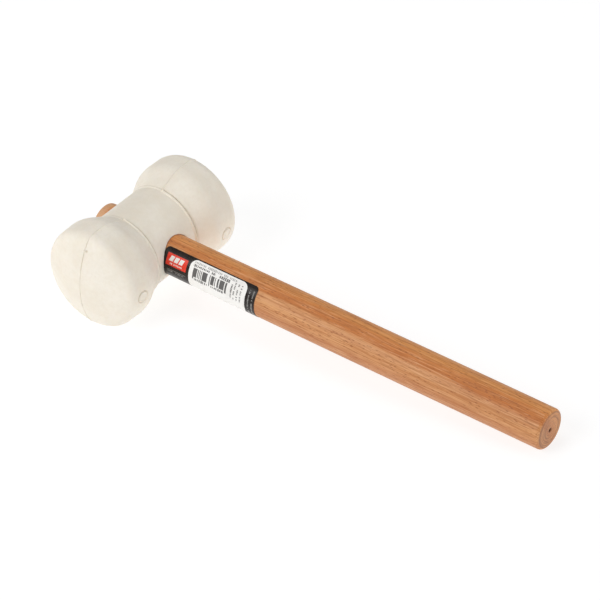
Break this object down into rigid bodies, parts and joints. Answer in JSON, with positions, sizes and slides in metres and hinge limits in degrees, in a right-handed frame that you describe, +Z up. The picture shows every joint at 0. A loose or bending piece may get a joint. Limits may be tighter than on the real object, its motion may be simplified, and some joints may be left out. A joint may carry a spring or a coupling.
{
  "type": "rubber mallet",
  "caption": "Double-faced white rubber mallet with a waisted head, domed faces and a straight round hardwood handle carrying a printed label, lying on its side.",
  "frame": {"origin": "on the surface that the mallet lies on, under the middle of its box", "axes": "+X runs along the handle from the head to the butt, +Y along the head's axis, +Z up"},
  "size_m": [0.3434, 0.1238, 0.0697],
  "materials": {
    "white_rubber": "matt off-white moulded rubber",
    "handle_wood": "clear satin lacquer on fine-grained hardwood",
    "wedge_wood": "bare sawn wood",
    "label_film": "gloss black printed film",
    "sticker_paper": "smooth white printed paper"
  },
  "bodies": {
    "root": {"rubber_head": "white_rubber", "wood_handle": "handle_wood", "eye_wedge": "wedge_wood", "printed_label": "label_film", "barcode_sticker": "sticker_paper"}
  },
  "joints": []
}
